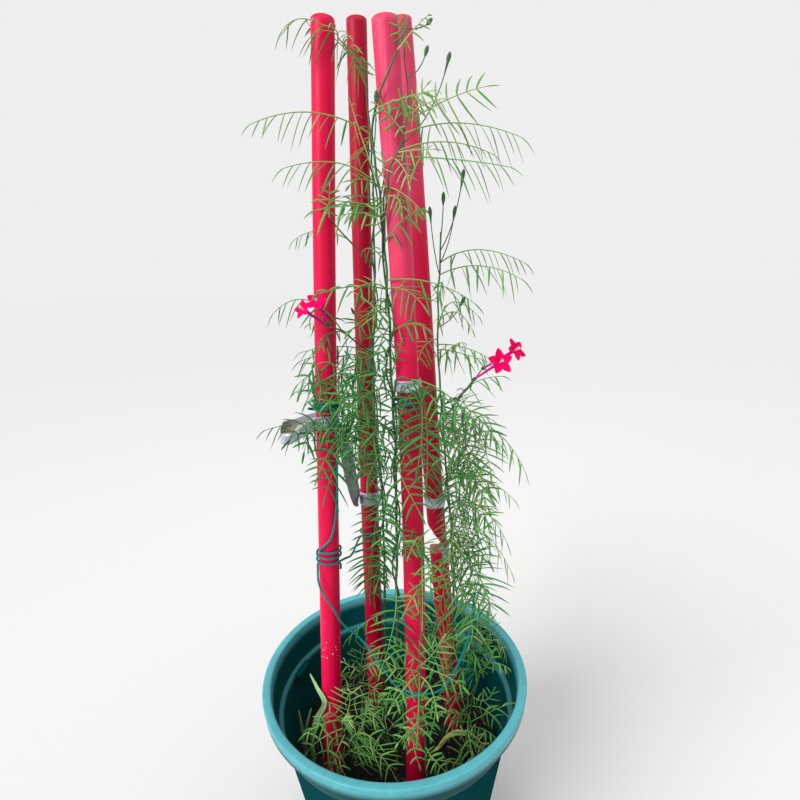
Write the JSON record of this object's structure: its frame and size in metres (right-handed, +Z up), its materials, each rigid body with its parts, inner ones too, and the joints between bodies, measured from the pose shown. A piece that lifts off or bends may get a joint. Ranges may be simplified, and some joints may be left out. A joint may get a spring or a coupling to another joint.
{
  "type": "potted cypress vine",
  "caption": "Feathery-leaved climbing vine with pink star flowers on tall red stakes, tied with tape and wire, in a teal nursery pot.",
  "frame": {"origin": "middle of the pot's underside", "axes": "+Z up along the pot and the stakes, -Y the side the picture shows, +X to its right"},
  "size_m": [0.3, 0.3, 0.9505],
  "materials": {
    "pot": "satin teal-green plastic, dark inside",
    "soil": "dark crumbly soil",
    "stake": "red plastic coat, semi-gloss",
    "tape": "grey cloth tape, slightly shiny",
    "wire": "teal-green plastic-coated tie wire",
    "vine": "green leaves and stems",
    "petal": "pink-red petals",
    "weed": "pale green blades",
    "dry_leaf": "yellowed leaf"
  },
  "bodies": {
    "root": {"pot": "pot", "soil": "soil", "stake_left": "stake", "stake_back": "stake", "stake_front": "stake", "stake_right": "stake", "tape_front": "tape", "tape_back": "tape", "tape_right": "tape", "tape_patch": "tape", "tape_loop": "tape", "tape_strip": "tape", "wire_left": "wire", "wire_low": "wire", "wire_front": "wire", "vine_front": "vine", "vine_right": "vine", "vine_back": "vine", "vine_low": "vine", "vine_pot_right": "vine", "vine_pot_left": "vine", "vine_pot_middle": "vine", "flower_right_near": "petal", "flower_right_far": "petal", "flower_left_near": "petal", "flower_left_far": "petal", "grass_blade": "weed", "grass_tuft": "weed", "seedling": "weed", "fallen_leaf": "dry_leaf"}
  },
  "joints": []
}
